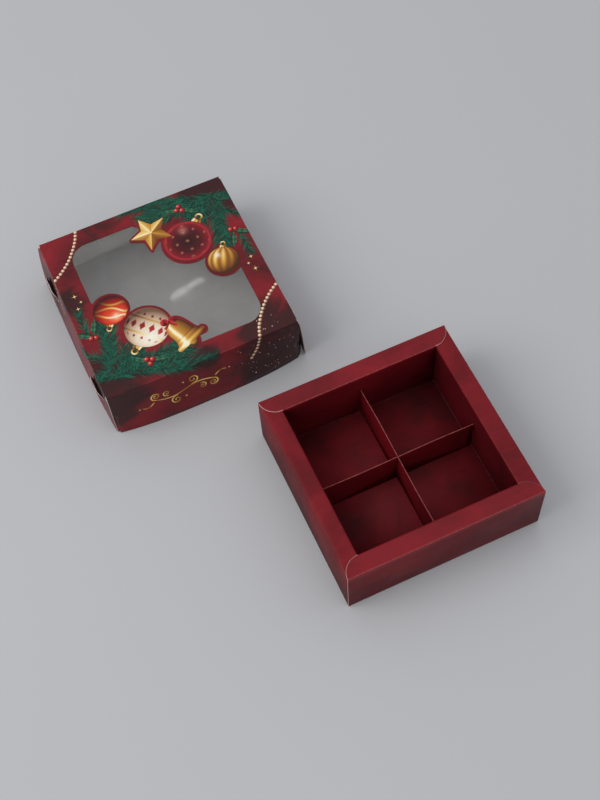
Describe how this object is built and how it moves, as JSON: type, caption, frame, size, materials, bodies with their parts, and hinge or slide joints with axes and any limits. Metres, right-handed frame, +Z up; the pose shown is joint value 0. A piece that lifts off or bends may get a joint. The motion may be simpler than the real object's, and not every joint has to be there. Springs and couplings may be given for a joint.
{
  "type": "candy box",
  "caption": "Square folding card candy box: a tray with hollow rolled walls and crossed dividers, and a lift-off lid with a clear film window, laid open.",
  "frame": {"origin": "middle of the tray's underside, on the surface it stands on", "axes": "+Z up, +Y from the tray's front wall to its back wall and on to where the lid lies, +X to the right"},
  "size_m": [0.1732, 0.2466, 0.0345],
  "materials": {
    "tray_card": "satin coated, dark red",
    "divider_card": "satin coated, dark red",
    "lid_card": "satin coated and printed outside, plain white inside",
    "window_film": "clear gloss"
  },
  "bodies": {
    "tray": {"tray_floor": "tray_card", "tray_front_outer_wall": "tray_card", "tray_back_outer_wall": "tray_card", "tray_left_outer_wall": "tray_card", "tray_right_outer_wall": "tray_card", "tray_left_rim": "tray_card", "tray_right_rim": "tray_card", "tray_left_inner_wall": "tray_card", "tray_right_inner_wall": "tray_card", "tray_corner_flap_front_left": "tray_card", "tray_corner_flap_front_right": "tray_card", "tray_corner_flap_back_left": "tray_card", "tray_corner_flap_back_right": "tray_card"},
    "front_rim": {"tray_front_rim": "tray_card"},
    "front_inner_wall": {"tray_front_inner_wall": "tray_card"},
    "back_rim": {"tray_back_rim": "tray_card"},
    "back_inner_wall": {"tray_back_inner_wall": "tray_card"},
    "divider_lower": {"divider_lower": "divider_card"},
    "divider_upper": {"divider_upper": "divider_card"},
    "lid": {"lid_top_panel": "lid_card", "lid_front_wall": "lid_card", "lid_back_wall": "lid_card", "lid_left_wall": "lid_card", "lid_right_wall": "lid_card", "lid_corner_flap_front_left": "lid_card", "lid_corner_flap_front_right": "lid_card", "lid_corner_flap_back_left": "lid_card", "lid_corner_flap_back_right": "lid_card", "lid_window_film": "window_film"}
  },
  "joints": [
    {"name": "lid_lift", "type": "slide", "parent": "tray", "child": "lid", "axis": [0, 0, 1], "range_m": [0, 0.1]},
    {"name": "divider_lower_lift", "type": "slide", "parent": "tray", "child": "divider_lower", "axis": [0, 0, 1], "range_m": [0, 0.05]},
    {"name": "divider_upper_lift", "type": "slide", "parent": "divider_lower", "child": "divider_upper", "axis": [0, 0, 1], "range_m": [0, 0.03]},
    {"name": "front_rim_fold", "type": "hinge", "parent": "tray", "child": "front_rim", "pos_m": [0, -0.0515, 0.03415], "axis": [1, 0, 0], "range_deg": [0, 75]},
    {"name": "front_inner_wall_fold", "type": "hinge", "parent": "front_rim", "child": "front_inner_wall", "pos_m": [0, -0.04235, 0.03415], "axis": [1, 0, 0], "range_deg": [-75, 0]},
    {"name": "back_rim_fold", "type": "hinge", "parent": "tray", "child": "back_rim", "pos_m": [0, 0.0515, 0.03415], "axis": [-1, 0, 0], "range_deg": [0, 75]},
    {"name": "back_inner_wall_fold", "type": "hinge", "parent": "back_rim", "child": "back_inner_wall", "pos_m": [0, 0.04235, 0.03415], "axis": [-1, 0, 0], "range_deg": [-75, 0]}
  ],
  "couplings": [
    {"joint": "front_inner_wall_fold", "follows": "front_rim_fold", "ratio": -1},
    {"joint": "back_inner_wall_fold", "follows": "back_rim_fold", "ratio": -1}
  ]
}
